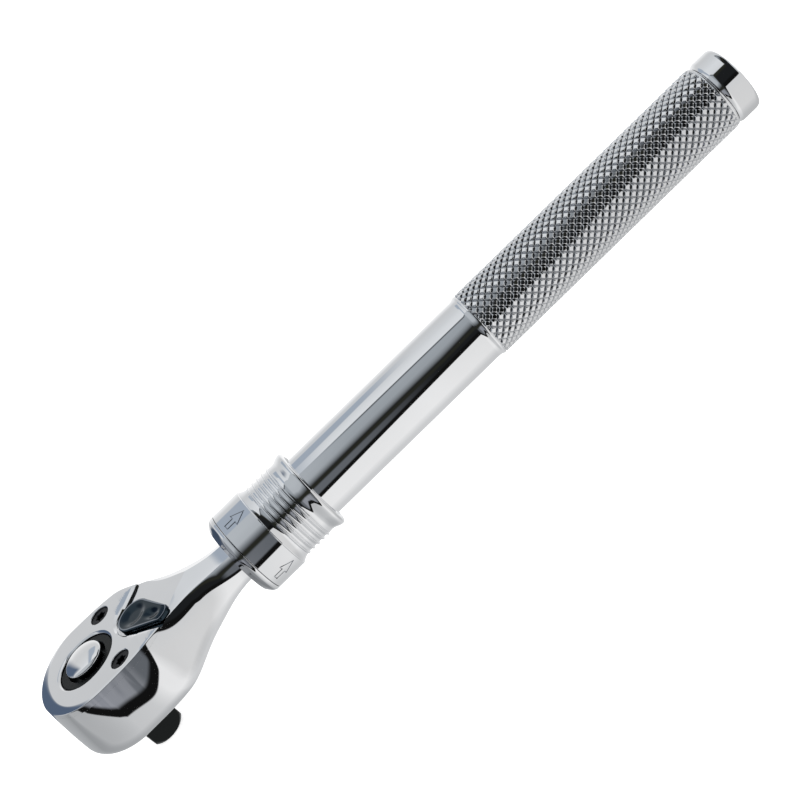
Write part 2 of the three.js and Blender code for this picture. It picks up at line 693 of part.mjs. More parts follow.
function endCap() {
  const plug = TUBE_BORE - GAP;
  return solid(turned([
    [0, CAP_PLUG_X], [plug, CAP_PLUG_X], [plug, CAP_X], [GRIP_RADIUS - 0.6, CAP_X],
    [GRIP_RADIUS, CAP_X + 0.8], [GRIP_RADIUS, HANDLE_END - 1.4], [GRIP_RADIUS - 0.4, HANDLE_END - 0.4],
    [GRIP_RADIUS - 1.4, HANDLE_END], [0, HANDLE_END],
  ], 'x'));
}

// ---- the assembly ----
const form = headForm();
addPiece('head_body', headBody(form), CHROME);
addPiece('slide_bar', slideBar(), CHROME);
addPiece('face_plate', facePlate(form), CHROME);
addPiece('face_screw_1', faceScrew(1), BLACK_OXIDE);
addPiece('face_screw_2', faceScrew(-1), BLACK_OXIDE);
addPiece('drive_gear', driveGear(), BLACK_OXIDE);
addPiece('thrust_washer', thrustWasher(), BARE_STEEL);
addPiece('release_button', releaseButton(), CHROME);
addPiece('release_pin', releasePin(), BARE_STEEL);
addPiece('button_spring', buttonSpring(), SPRING_STEEL);
addPiece('detent_ball', detentBall(), BARE_STEEL);
addPiece('reverse_lever', reverseLever(), LEVER_GREY);
addPiece('lever_plunger', leverPlunger(), BARE_STEEL);
addPiece('plunger_spring', plungerSpring(), SPRING_STEEL);
addPiece('lever_seal', leverSeal(), SEAL_RUBBER);
addPiece('lever_retaining_ring', leverRetainingRing(), SPRING_STEEL);
addPiece('pawl', pawl(), BARE_STEEL);
addPiece('pawl_pin', pawlPin(), BARE_STEEL);
addPiece('nose_ring', noseRing(), CHROME);
addPiece('release_collar', releaseCollar(), CHROME);
addPiece('lock_housing', lockHousing(), BARE_STEEL);
addPiece('collar_spring', collarSpring(), SPRING_STEEL);
for (let number = 0; number < LOCK_BALL_COUNT; number += 1) {
  addPiece(`lock_ball_${number + 1}`, lockBall(number), BARE_STEEL);
}
addPiece('bar_stop_ring', barStopRing(), BARE_STEEL);
addPiece('handle_tube', handleTube(), CHROME);
addPiece('end_cap', endCap(), CHROME);

export default group;
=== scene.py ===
"""Looks of the extendable quick-release ratchet wrench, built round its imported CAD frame."""
import json
import math
import bmesh
import bpy
from mathutils import Matrix, Vector


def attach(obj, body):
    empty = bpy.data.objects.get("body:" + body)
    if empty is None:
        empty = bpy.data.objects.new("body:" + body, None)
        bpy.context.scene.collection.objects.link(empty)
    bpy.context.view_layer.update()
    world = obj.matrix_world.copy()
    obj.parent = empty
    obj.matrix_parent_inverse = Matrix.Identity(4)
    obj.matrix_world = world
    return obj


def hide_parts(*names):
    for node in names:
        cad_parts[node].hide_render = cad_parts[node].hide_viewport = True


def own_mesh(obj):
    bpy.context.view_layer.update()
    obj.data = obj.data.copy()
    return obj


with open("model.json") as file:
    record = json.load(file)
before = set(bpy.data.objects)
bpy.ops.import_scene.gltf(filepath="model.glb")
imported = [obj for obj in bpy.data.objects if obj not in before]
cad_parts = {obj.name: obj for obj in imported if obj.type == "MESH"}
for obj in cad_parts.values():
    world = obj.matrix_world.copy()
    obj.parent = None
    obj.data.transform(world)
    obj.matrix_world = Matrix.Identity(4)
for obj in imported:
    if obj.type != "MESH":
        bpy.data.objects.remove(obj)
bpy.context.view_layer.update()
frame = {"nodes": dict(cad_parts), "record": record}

# Shapes are in millimetres in the row frame, and finished meshes are scaled to metres. The camera,
# the studio and the materials are in metres.
MM = 0.001
AXIS_Z = 27.0            # the handle's axis
SEAT_Z = 37.7            # underside of the cover plate
PLATE_TOP = 39.9
HEAD_BASE_Z = 13.8       # underside of the head, above the square


# ---------------------------------------------------------------- camera
VIEW = Vector((0.0, -0.8746, 0.4848))      # from the target to the camera
TARGET = Vector((0.132, 0.0, 0.027))       # on the handle's axis, halfway along the tool
DISTANCE = 0.654
ROLL = math.radians(44.25)
LENS, SENSOR = 90, 36
SHIFT_X, SHIFT_Y = -0.00125, 0.0011


def make_camera():
    data = bpy.data.cameras.new("camera")
    data.lens = LENS
    data.sensor_width = SENSOR
    data.shift_x = SHIFT_X
    data.shift_y = SHIFT_Y
    camera = bpy.data.objects.new("camera", data)
    level = VIEW.to_track_quat("Z", "Y").to_matrix().to_4x4()
    place = Matrix.Translation(TARGET + DISTANCE * VIEW)
    camera.matrix_world = place @ level @ Matrix.Rotation(-ROLL, 4, "Z")
    bpy.context.scene.collection.objects.link(camera)
    bpy.context.scene.camera = camera


# ---------------------------------------------------------------- shader nodes
WHITE = (1, 1, 1, 1)


class Nodes:
    """A short way to write shader nodes: each call adds one node and returns its first output."""

    def __init__(self, tree):
        self.tree = tree
        tree.nodes.clear()

    def add(self, kind, inputs=(), **settings):
        """Adds a node with its inputs by place or by name, and returns the node itself."""
        node = self.tree.nodes.new(kind)
        for name, value in settings.items():
            setattr(node, name, value)
        pairs = inputs.items() if isinstance(inputs, dict) else enumerate(inputs)
        for key, value in pairs:
            self.give(node.inputs[key], value)
        return node

    def give(self, socket, value):
        if isinstance(value, bpy.types.NodeSocket):
            self.tree.links.new(value, socket)
        else:
            socket.default_value = value

    def math(self, operation, *values):
        return self.add("ShaderNodeMath", values, operation=operation).outputs[0]

    def minus(self, a, b):
        return self.math("SUBTRACT", a, b)

    def product(self, first, *others):
        for factor in others:
            first = self.math("MULTIPLY", first, factor)
        return first

    def line(self, value, slope, at_zero):
        return self.math("MULTIPLY_ADD", value, slope, at_zero)

    def dot(self, a, b):
        node = self.add("ShaderNodeVectorMath", (a, b), operation="DOT_PRODUCT")
        return node.outputs["Value"]

    def step(self, value, low, high):
        """A smooth step from 0 at low to 1 at high. It falls where low is more than high."""
        inputs = {"Value": value, "From Min": low, "From Max": high}
        node = self.add("ShaderNodeMapRange", inputs, interpolation_type="SMOOTHSTEP")
        return node.outputs["Result"]

    def ramp(self, factor, stops):
        node = self.add("ShaderNodeValToRGB", (factor,))
        elements = node.color_ramp.elements
        while len(elements) < len(stops):
            elements.new(1.0)
        for element, (position, colour) in zip(elements, stops):
            element.position = position
            element.color = (*colour, 1.0)
        return node.outputs["Color"]

    def mix(self, factor, a, b):
        """Colour a where factor is 0, and b where it is 1."""
        node = self.add("ShaderNodeMix", data_type="RGBA")
        self.give(node.inputs[0], factor)
        self.give(node.inputs[6], a)
        self.give(node.inputs[7], b)
        return node.outputs[2]

    def noise(self, scale, detail=3.0, roughness=0.5, vector=None):
        inputs = {"Scale": scale, "Detail": detail, "Roughness": roughness}
        if vector is not None:
            inputs["Vector"] = vector
        return self.add("ShaderNodeTexNoise", inputs).outputs["Fac"]


def grey(value, blue=0.0):
    return (value * (1 - blue), value, value * (1 + blue))


# ---------------------------------------------------------------- studio
# The studio is a white room. What the chrome mirrors is a dome of painted light round it: a pale
# room with two blue patches, and a dark panel on the camera's side. Places on the dome are given
# by the place u, in millimetres along the handle, and by a height from -1, straight below and
# behind the object, over 0, at the camera, to 1, straight above and behind it.
DOME_RADIUS = 0.43
DOME_SPREAD = 1 + DOME_RADIUS / DISTANCE
ROOM_LENGTH = 600.0
LEFT_BLUE = (0.09, 0.125, 0.19, 1)
MIDDLE_BLUE = (0.36, 0.41, 0.48, 1)
MIDDLE_BLUE_REACH = 40.0         # how much further to the right it reaches high up
PANEL_BLUR = 0.008
PANEL_LEFT = (-200, -150)
PANEL_RIGHT = (380, 370)
TOP_LINE_GREY = (0.10, 0.11, 0.12, 1)
LOWER_GREY = (0.12, 0.13, 0.145, 1)
LOWER_LEFT_GREY = (0.26, 0.272, 0.305, 1)
STREAK_GREY = (0.40, 0.41, 0.44, 1)
STREAK_STRENGTH = 0.35
RIGHT_BLACK = (0.012, 0.013, 0.014, 1)
RIDGE_BLACK = (0.02, 0.021, 0.016, 1)
EDGE_BLACK = (0.006, 0.006, 0.006, 1)


def make_world():
    world = bpy.data.worlds.new("studio")
    bpy.context.scene.world = world
    world.use_nodes = True
    n = Nodes(world.node_tree)
    background = n.add("ShaderNodeBackground", {"Color": WHITE, "Strength": 1.0})
    n.add("ShaderNodeOutputWorld", {"Surface": background.outputs[0]})


def make_dome():
    work = bmesh.new()
    bmesh.ops.create_uvsphere(work, u_segments=96, v_segments=64, radius=DOME_RADIUS)
    mesh = bpy.data.meshes.new("light_dome")
    work.to_mesh(mesh)
    work.free()
    dome = bpy.data.objects.new("light_dome", mesh)
    dome.location = TARGET
    dome.visible_camera = False
    dome.visible_diffuse = False
    dome.visible_shadow = False
    bpy.context.scene.collection.objects.link(dome)
    material = bpy.data.materials.new("dome_light")
    material.use_nodes = True
    material.cycles.emission_sampling = "NONE"
    n = Nodes(material.node_tree)
    place = n.add("ShaderNodeTexCoord").outputs["Object"]
    toward = n.dot(place, VIEW)
    above = n.dot(place, (0, VIEW.z, -VIEW.y))
    height = n.math("SINE", n.math("MULTIPLY", n.math("ARCTAN2", above, toward), 0.5))
    u = n.line(n.dot(place, (1, 0, 0)), 1000 / DOME_SPREAD, 1000 * TARGET.x)
    light = n.add("ShaderNodeEmission", {"Color": paint_dome(n, u, height), "Strength": 1.0})
    n.add("ShaderNodeOutputMaterial", {"Surface": light.outputs[0]})
    mesh.materials.append(material)


def paint_dome(n, u, height):
    """The room with the panel before it. A ridge parts the panel, and rises to the right."""
    bottom, top = panel_edges(n, u)
    ridge = n.math("MAXIMUM", 0.03, n.line(u, 0.0033, -0.468))
    over_ridge = n.minus(height, ridge)
    upper = paint_upper_panel(n, u, over_ridge, n.minus(top, height))
    lower = paint_lower_panel(n, u, height, over_ridge, n.minus(height, bottom))
    panel = n.mix(n.step(over_ridge, -0.02, 0.01), lower, upper)
    inside = n.product(
        n.step(n.minus(height, bottom), -PANEL_BLUR, PANEL_BLUR),
        n.step(n.minus(top, height), -PANEL_BLUR, PANEL_BLUR),
        n.step(u, *PANEL_RIGHT),
        n.step(u, *PANEL_LEFT),
    )
    return n.mix(inside, paint_room(n, u, height), panel)


def paint_room(n, u, height):
    """Pale greys by height and along the handle, a blue patch at the left and one in the middle."""
    by_height = n.ramp(n.line(height, 0.5, 0.5), [
        (0.0, grey(0.78, 0.01)),
        (0.02, grey(0.62, 0.01)),
        (0.06, grey(0.66, 0.01)),
        (0.14, grey(0.86)),
        (0.36, grey(0.84)),
        (0.74, grey(0.76, 0.03)),
        (0.80, grey(0.72, 0.03)),
        (0.85, grey(0.66, 0.03)),
        (0.925, grey(0.61, 0.02)),
        (0.945, grey(0.64, 0.015)),
        (0.975, grey(0.84, 0.01)),
        (1.0, grey(1.0)),
    ])
    along = n.ramp(n.line(u, 1 / ROOM_LENGTH, 0.5), [
        (0.30, grey(0.52, 0.02)),
        (0.47, grey(0.64, 0.015)),
        (0.56, grey(0.74, 0.01)),
        (0.64, grey(1.0)),
        (0.74, grey(1.0)),
        (0.86, grey(0.80)),
    ])
    along = n.mix(n.step(height, 0.3, 0.6), along, WHITE)
    product = n.add("ShaderNodeVectorMath", (by_height, along), operation="MULTIPLY")
    left_patch = n.product(n.step(u, -10, -40), n.step(u, -150, -90), n.step(height, 0.6, 0.75))
    room = n.mix(left_patch, product.outputs[0], LEFT_BLUE)
    further = n.math("MULTIPLY", n.step(height, 0.66, 0.72), MIDDLE_BLUE_REACH)
    middle_patch = n.product(
        n.step(u, 38, 58),
        n.step(n.minus(u, further), 108, 80),
        n.step(height, 0.845, 0.82),
        n.step(height, 0.3, 0.5),
    )
    return n.mix(middle_patch, room, MIDDLE_BLUE)


def panel_edges(n, u):
    """Heights of the panel's edges. The lower one is a V with a rounded point, level at its right.
    The upper one falls gently to the right, and jumps up at the right end."""
    rising = n.math("MINIMUM", n.line(u, 0.0019, -0.535), -0.04)
    falling = n.line(u, -0.00124, -0.38)
    bottom = n.math("SMOOTH_MAX", rising, falling, 0.12)
    right_end = n.math("MULTIPLY", n.step(u, 275, 285), 0.75)
    top = n.math("MAXIMUM", n.line(u, -0.0005, 0.54), right_end)
    return bottom, top


def paint_upper_panel(n, u, over_ridge, under_top):
    """Greys that get paler from the ridge upwards, and sooner at the left, with a dark top line."""
    place = n.math("MULTIPLY", over_ridge, 2.5)
    right = n.ramp(place, [
        (0.0, grey(0.012)),
        (0.06, grey(0.03, 0.05)),
        (0.18, grey(0.15, 0.08)),
        (0.32, grey(0.26, 0.08)),
        (0.5, grey(0.35, 0.08)),
        (0.85, grey(0.37, 0.08)),
    ])
    left = n.ramp(place, [
        (0.0, grey(0.03)),
        (0.2, grey(0.22, 0.08)),
        (0.42, grey(0.46, 0.06)),
        (0.85, grey(0.5, 0.06)),
    ])
    upper = n.mix(n.step(u, 125, 60), right, left)
    top_line = n.product(n.step(under_top, 0.05, 0.02), n.step(u, 95, 125))
    return n.mix(top_line, upper, TOP_LINE_GREY)


def paint_lower_panel(n, u, height, over_ridge, over_bottom):
    """Dark grey, streaked at the left, and black at the right and along the ridge and the edge."""
    lower = n.mix(n.step(u, 60, -20), LOWER_GREY, LOWER_LEFT_GREY)
    stretched = (n.math("MULTIPLY", u, 0.05), n.math("MULTIPLY", height, 1.5), 0.0)
    place = n.add("ShaderNodeCombineXYZ", stretched).outputs[0]
    streaks = n.step(n.noise(1.0, 2.0, 0.5, place), 0.42, 0.62)
    streaks = n.product(streaks, n.step(u, 75, 45), STREAK_STRENGTH)
    lower = n.mix(streaks, lower, STREAK_GREY)
    lower = n.mix(n.step(u, 105, 150), lower, RIGHT_BLACK)
    lower = n.mix(n.step(over_ridge, -0.12, -0.06), lower, RIDGE_BLACK)
    return n.mix(n.step(over_bottom, 0.13, 0.08), lower, EDGE_BLACK)


def make_floor():
    reach, gap = 3.0, 0.0004
    mesh = bpy.data.meshes.new("floor")
    corners = [(-reach, -reach, 0), (reach, -reach, 0), (reach, reach, 0), (-reach, reach, 0)]
    mesh.from_pydata(corners, [], [(0, 1, 2, 3)])
    floor = bpy.data.objects.new("floor", mesh)
    floor.location.z = -gap
    floor.visible_glossy = False
    bpy.context.scene.collection.objects.link(floor)
    material = bpy.data.materials.new("floor_paper")
    material.use_nodes = True
    n = Nodes(material.node_tree)
    tone = n.mix(n.noise(40.0), (0.80, 0.80, 0.80, 1), (0.83, 0.83, 0.83, 1))
    shader = n.add("ShaderNodeBsdfPrincipled", {
        "Base Color": tone,
        "Roughness": 0.9,
        "Emission Color": WHITE,
        "Emission Strength": 0.75,
    })
    n.add("ShaderNodeOutputMaterial", {"Surface": shader.outputs[0]})
    mesh.materials.append(material)


# ---------------------------------------------------------------- materials
CHROME = (0.95, 0.955, 0.965)
POLISHED = {"bump": 0.000002, "grain": 300.0}
# Painted shade: grooves deeper than a rim radius get this grey, darker than the chrome, in the knurl
# and the collar's arrows.
GROOVE_PAINTED_SHADE = (0.5, 0.51, 0.53, 1)
ARROW_PAINTED_SHADE = (0.0157, 0.01586, 0.0726)      # floor, rim and end, as painted_groove_shade takes them
KNURL_PAINTED_SHADE = (0.01195, 0.0124, 0.3)
# Painted highlight: the lever is given a lighter colour above this height, along its top rim.
LEVER_RIM_HIGHLIGHT = (0.03964, (0.28, 0.31, 0.35))       # height and colour, as paint_rim_highlight takes them
HIGHLIGHT_BLUR = 0.00003


def metal(name, tint, roughness, uneven=0.03, bump=0.0, grain=900.0, groove=None, rim_glint=None):
    """A metal whose roughness wanders by uneven, with fine bumps bump deep in metres.
    The last two arguments, where given, paint shade into grooves and a highlight along a top rim,
    as the two functions below take them."""
    material = bpy.data.materials.new(name)
    material.use_nodes = True
    n = Nodes(material.node_tree)
    place = n.add("ShaderNodeTexCoord").outputs["Object"]
    cloud = n.noise(60.0, 4.0, 0.6, place)
    darker = tuple(0.93 * c for c in tint)
    colour = n.mix(cloud, (*darker, 1), (*tint, 1))
    # painted shade in the grooves
    if groove:
        colour = painted_groove_shade(n, place, colour, *groove)
    # a painted highlight above a height
    if rim_glint:
        colour = paint_rim_highlight(n, place, colour, *rim_glint)
    inputs = {
        "Base Color": colour,
        "Metallic": 1.0,
        "Roughness": n.line(cloud, uneven, roughness),
    }
    if bump:
        inputs["Normal"] = n.add("ShaderNodeBump", {
            "Strength": 0.5,
            "Distance": bump,
            "Height": n.noise(grain, 3.0, 0.6, place),
        }).outputs[0]
    shader = n.add("ShaderNodeBsdfPrincipled", inputs)
    n.add("ShaderNodeOutputMaterial", {"Surface": shader.outputs[0]})
    return material


def painted_groove_shade(n, place, colour, floor, rim, end):
    """Paints shade into the grooves: darkens what lies deeper than the radius rim, and most from the
    radius floor inwards, as far along the handle as end."""
    parts = n.add("ShaderNodeSeparateXYZ", (place,)).outputs
    up = n.minus(parts[2], AXIS_Z * MM)
    squares = n.math("ADD", n.product(parts[1], parts[1]), n.product(up, up))
    radius = n.math("SQRT", squares)
    deep = n.product(n.step(radius, rim, floor), n.math("LESS_THAN", parts[0], end))
    return n.mix(deep, colour, GROOVE_PAINTED_SHADE)


def paint_rim_highlight(n, place, colour, height, bright):
    """Paints a highlight: gives what lies above height the colour bright."""
    up = n.add("ShaderNodeSeparateXYZ", (place,)).outputs[2]
    return n.mix(n.step(up, height, height + HIGHLIGHT_BLUR), colour, (*bright, 1))


# ---------------------------------------------------------------- mesh tools
WELD = 1e-4
ON_AXIS = 1e-6


def make_object(name, verts, faces):
    mesh = bpy.data.meshes.new(name)
    mesh.from_pydata([tuple(v) for v in verts], [], faces)
    obj = bpy.data.objects.new(name, mesh)
    bpy.context.scene.collection.objects.link(obj)
    clean(obj)
    return obj


def clean(obj):
    work = bmesh.new()
    work.from_mesh(obj.data)
    bmesh.ops.remove_doubles(work, verts=work.verts, dist=WELD)
    bmesh.ops.recalc_face_normals(work, faces=work.faces)
    work.to_mesh(obj.data)
    work.free()


def soften(points, closed=False, steps=4):
    """Rounds every corner given as (radius, along, rounding)."""
    rounded = []
    for i, point in enumerate(points):
        corner = Vector(point[:2])
        size = point[2] if len(point) > 2 else 0
        if not size or (not closed and i in (0, len(points) - 1)):
            rounded.append(corner)
            continue
        back = Vector(points[i - 1][:2]) - corner
        ahead = Vector(points[(i + 1) % len(points)][:2]) - corner
        start = corner + min(size, 0.49 * back.length) * back.normalized()
        end = corner + min(size, 0.49 * ahead.length) * ahead.normalized()
        for step in range(steps + 1):
            t = step / steps
            rounded.append(start.lerp(corner, t).lerp(corner.lerp(end, t), t))
    return rounded


def lathe(name, outline, axis="x", steps=96, closed=False):
    """A solid turned about the handle's axis, or about the drive's axis where axis is z."""
    verts = []
    rings = []
    for radius, along in outline:
        if radius < ON_AXIS:
            rings.append([len(verts)] * steps)
            verts.append((along, 0, AXIS_Z) if axis == "x" else (0, 0, along))
            continue
        rings.append(range(len(verts), len(verts) + steps))
        for step in range(steps):
            angle = 2 * math.pi * step / steps
            across, up = radius * math.cos(angle), radius * math.sin(angle)
            verts.append((along, across, AXIS_Z + up) if axis == "x" else (across, up, along))
    faces = []
    pairs = list(zip(rings, rings[1:]))
    if closed:
        pairs.append((rings[-1], rings[0]))
    for lower, upper in pairs:
        for step in range(steps):
            after = (step + 1) % steps
            corners = [lower[step], lower[after], upper[after], upper[step]]
            face = [c for i, c in enumerate(corners) if c != corners[i - 1]]
            if len(face) > 2:
                faces.append(face)
    return make_object(name, verts, faces)


def loft(name, rings):
    """A closed solid through rings of equal length, with flat ends."""
    size = len(rings[0])
    verts = [v for ring in rings for v in ring]
    faces = [list(range(size)), list(range(len(verts) - size, len(verts)))]
    for start in range(0, len(verts) - size, size):
        for i in range(size):
            after = (i + 1) % size
            faces.append([start + i, start + after, start + size + after, start + size + i])
    return make_object(name, verts, faces)


def prism(name, outline, low, high):
    return loft(name, [[(x, y, low) for x, y in outline], [(x, y, high) for x, y in outline]])


def slab(name, end_x, low, high):
    """A block wider than the head, from before its nose to end_x."""
    reach = 30
    outline = [(-reach, -reach), (end_x, -reach), (end_x, reach), (-reach, reach)]
    return prism(name, outline, low, high)


def drum(name, radius, low, high, steps=64):
    return lathe(name, [(0, low), (radius, low), (radius, high), (0, high)], "z", steps)


def move(obj, x=0.0, y=0.0, z=0.0, turn=0.0):
    obj.data.transform(Matrix.Translation((x, y, z)) @ Matrix.Rotation(turn, 4, "Z"))
    return obj


def combine(obj, *others, operation="DIFFERENCE"):
    """Cuts the others from obj, or joins them to it, and deletes them."""
    for other in others:
        modifier = obj.modifiers.new("combine", "BOOLEAN")
        modifier.operation = operation
        modifier.solver = "EXACT"
        modifier.object = other
    shape = obj.evaluated_get(bpy.context.evaluated_depsgraph_get())
    result = bpy.data.meshes.new_from_object(shape)
    obj.modifiers.clear()
    obj.data = result
    for other in others:
        bpy.data.objects.remove(other)
    return obj


def finish(obj, body, slot, *nodes, bevel=0.0, sharp=32, material=None):
    """Scales a piece to metres, shades it, gives it its finish and rides it on its body."""
    clean(obj)
    obj.data.transform(Matrix.Scale(MM, 4))
    obj.data.shade_smooth()
    obj.data.set_sharp_from_angle(angle=math.radians(sharp))
    if bevel:
        edge = obj.modifiers.new("edge", "BEVEL")
        edge.width = bevel * MM
        edge.segments = 2
        edge.limit_method = "ANGLE"
        edge.angle_limit = math.radians(sharp)
        edge.use_clamp_overlap = True
    normals = obj.modifiers.new("normals", "WEIGHTED_NORMAL")
    normals.keep_sharp = True
    obj.data.materials.clear()
    obj.data.materials.append(FINISHES[material or slot])
    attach(obj, body)
    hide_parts(*nodes)
    return obj


# ---------------------------------------------------------------- head form
HEAD_HALF_WIDTH = 22.5
HEAD_FRONT = 20.6
HEAD_TOP = 12.9
HEAD_BOTTOM = 13.2
NECK_END = 60.0
NECK_RADIUS = 8.2
NECK_SWEEP, NECK_FULLNESS = 1.5, 1.45
HEIGHT_BLEND = 8
EDGE_INSET = 0.8
EDGE_DROP, NOSE_DROP = 0.25, 0.9           # of the bevel beside the drive, and more at the nose
EDGE_BEVEL, NOSE_BEVEL = 1, 3.6            # its width beside the drive, and more at the nose
BELLY = 2.4                                # how far the sides bulge below the plate
BEVEL_STEPS = 12
WALL_STEPS = 18
ROUND_STEPS = 16
FAN_STEPS = 30
NECK_SPACING = 0.5
NECK_OVAL = (18, 41)         # where the neck turns from the head's section to an oval
NECK_POLISH = (20.5, 38)     # where the polishing grows from none to all its passes
POLISH_PASSES = 40


def smooth_step(low, high, value):
    t = min(max((value - low) / (high - low), 0.0), 1.0)
    return t * t * (3 - 2 * t)


def half_width(x):
    fall = (1 + math.cos(math.pi * (x / NECK_END) ** NECK_SWEEP)) / 2
    return NECK_RADIUS + (HEAD_HALF_WIDTH - NECK_RADIUS) * fall ** NECK_FULLNESS


def head_height(limit, width):
    """About the smaller of limit and width, with a smooth change between them."""
    return (limit ** -HEIGHT_BLEND + width ** -HEIGHT_BLEND) ** (-1 / HEIGHT_BLEND)


def head_section(width, top, bottom, front):
    """Half of the head's section, from the top's middle to the bottom's middle.
    front is 0 beside the drive and 1 at the nose, where the top edge is bevelled most."""
    drop = EDGE_DROP + NOSE_DROP * front ** 2
    bevel = EDGE_BEVEL + NOSE_BEVEL * front ** 1.7
    edge = width - EDGE_INSET
    wall_top = top - drop
    side = 1 - front ** 2
    widest = width + BELLY * side
    rounding = bottom * (0.42 + 0.33 * side)
    wall_bottom = rounding - bottom

    def bevel_point(t):
        return edge - bevel * (1 - t), top - drop * t ** 1.35

    def wall_point(t):
        return widest - (widest - edge) * (1 - t) ** 2, wall_top + (wall_bottom - wall_top) * t

    points = [(0, top), (0.3 * edge, top), (0.6 * edge, top)]
    points += [bevel_point(step / BEVEL_STEPS) for step in range(BEVEL_STEPS)]
    corner = [bevel_point(1 - 1 / BEVEL_STEPS), (edge, wall_top, 0.35), wall_point(0.06)]
    points += [tuple(p) for p in soften(corner, steps=8)[1:]]
    points += [wall_point(step / WALL_STEPS) for step in range(2, WALL_STEPS)]
    for step in range(ROUND_STEPS + 1):
        turn = math.pi / 2 * step / ROUND_STEPS
        reach = widest - rounding * (1 - math.cos(turn))
        points.append((reach, wall_bottom - rounding * math.sin(turn)))
    return points + [(0.5 * (widest - rounding), -bottom), (0, -bottom)]


def blended_section(width, top, bottom, round_part):
    """The section beside the drive, drawn towards an ellipse by round_part."""
    blended = []
    for y, z in head_section(width, top, bottom, 0.0):
        reach = top if z > 0 else bottom
        angle = math.atan2(z / reach, y / width)
        oval = (width * math.cos(angle), reach * math.sin(angle))
        blended.append((y + (oval[0] - y) * round_part, z + (oval[1] - z) * round_part))
    return blended


def polish(points, passes):
    """Evens out a half section's corners, as more and more belt grinding would."""
    for _ in range(passes):
        before = [Vector(p) for p in points]
        for i in range(1, len(points) - 1):
            points[i] = tuple((before[i - 1] + 2 * before[i] + before[i + 1]) / 4)
    return points


def head_form(name):
    """The skin of head and neck: sections in a fan round the nose, then across the handle."""
    rings = []
    for step in range(FAN_STEPS, 0, -1):
        angle = math.pi / 2 * (1 + step / FAN_STEPS)
        along, across = math.cos(angle), math.sin(angle)
        width = 1 / math.hypot(along / HEAD_FRONT, across / HEAD_HALF_WIDTH)
        half = head_section(width, HEAD_TOP, HEAD_BOTTOM, -along)
        right = [(r * along, r * across, AXIS_Z + z) for r, z in half]
        left = [(r * along, -r * across, AXIS_Z + z) for r, z in half]
        rings.append(right + left[::-1])
    for step in range(int(NECK_END / NECK_SPACING) + 1):
        x = step * NECK_SPACING
        width = half_width(x)
        top = head_height(HEAD_TOP, width)
        bottom = head_height(HEAD_BOTTOM, width)
        half = blended_section(width, top, bottom, smooth_step(*NECK_OVAL, x))
        half = polish(half, round(POLISH_PASSES * smooth_step(*NECK_POLISH, x)))
        right = [(x, r, AXIS_Z + z) for r, z in half]
        left = [(x, -r, AXIS_Z + z) for r, z in half]
        rings.append(right + left[::-1])
    return loft(name, rings)


# ---------------------------------------------------------------- head pieces
SCREW_X, SCREW_Y = 11.0, 15.6
LEVER_X = 21.5
LEVER_REST = math.radians(-54)
NOTCH_CENTRE_X = 26.3
NOTCH_RADIUS = 13.0
NOTCH_FLANK = math.radians(51.6)
NOTCH_ARC_STEPS = 30
NOTCH_FLANK_STEPS = 26
NOTCH_STRIDE = 0.8
SCREW_HOLE_RADIUS = 2.1
SHAFT_HOLE_RADIUS = 3.65
JOURNAL_RADIUS = 10.4
GEAR_POCKET_RADIUS = 12.9
GEAR_POCKET_FLOOR = 18.3
CUT_TOP = SEAT_Z + 1         # cuts from below end here, clear of the seat
OPEN_TOP = 42                # cuts from above begin here, clear of the plate


def make_head_body():
    body = head_form("head_body_skin")
    pocket = [(6, -10.8), (18.5, -10.8), (20, -7), (20, 7), (18.5, 10.8), (6, 10.8)]
    combine(
        body,
        slab("above_seat", 52, SEAT_Z, 60),
        drum("gear_pocket", GEAR_POCKET_RADIUS, GEAR_POCKET_FLOOR, CUT_TOP),
        drum("journal_hole", JOURNAL_RADIUS, 12, GEAR_POCKET_FLOOR + 0.2),
        prism("pawl_pocket", pocket, 24.3, 34.3),
        move(drum("shaft_hole", SHAFT_HOLE_RADIUS, 21, CUT_TOP, 32), LEVER_X),
        move(drum("screw_hole", SCREW_HOLE_RADIUS, 28, CUT_TOP, 24), SCREW_X, SCREW_Y),
        move(drum("screw_hole", SCREW_HOLE_RADIUS, 28, CUT_TOP, 24), SCREW_X, -SCREW_Y),
    )
    finish(body, "head", "chrome_head", "head_body", bevel=0.04, sharp=14)


def chamfer_width(on_arc, past):
    """Width of the notch's chamfer: least in the arc's middle, where on_arc is a half, and growing
    as far as 10 mm past the arc's ends."""
    return 0.9 + 0.9 * abs(2 * on_arc - 1) ** 3 + 1.7 * min(past / 10, 1.0)


def notch_cutter():
    """The lever's notch: an arc with a straight flank at each end. Its upper edge has a chamfer,
    which is steeper in its lower half."""
    start = math.pi / 2 + NOTCH_FLANK
    sweep = 2 * (math.pi - start)
    profile = soften([(1.0, 35.0), (1.0, PLATE_TOP - 1.5, 0.08), (0.7, PLATE_TOP - 0.75, 0.08),
                      (0.0, PLATE_TOP + 0.002), (0.0, 44.0)])
    rings = []
    for inward, z in profile:
        ring = []
        for step in range(-NOTCH_FLANK_STEPS, NOTCH_ARC_STEPS + NOTCH_FLANK_STEPS + 1):
            on_arc = min(max(step / NOTCH_ARC_STEPS, 0.0), 1.0)
            angle = start + sweep * on_arc
            past = max(-step, step - NOTCH_ARC_STEPS, 0) * NOTCH_STRIDE
            reach = NOTCH_RADIUS - chamfer_width(on_arc, past) * inward
            side = 1 if step < NOTCH_ARC_STEPS / 2 else -1
            x = NOTCH_CENTRE_X + reach * math.cos(angle) + past * math.cos(NOTCH_FLANK)
            y = reach * math.sin(angle) + side * past * math.sin(NOTCH_FLANK)
            ring.append((x, y, z))
        ring += [(70, ring[-1][1], z), (70, ring[0][1], z)]
        rings.append(ring)
    return loft("notch", rings)


def screw_well(side):
    outline = soften([(0, 36), (2.4, 36), (2.4, 38.1), (3.75, 38.9), (3.75, PLATE_TOP, 0.35),
                      (5.2, PLATE_TOP + 0.02), (5.2, OPEN_TOP), (0, OPEN_TOP)])
    return move(lathe("screw_well", outline, "z", 64), SCREW_X, side * SCREW_Y)


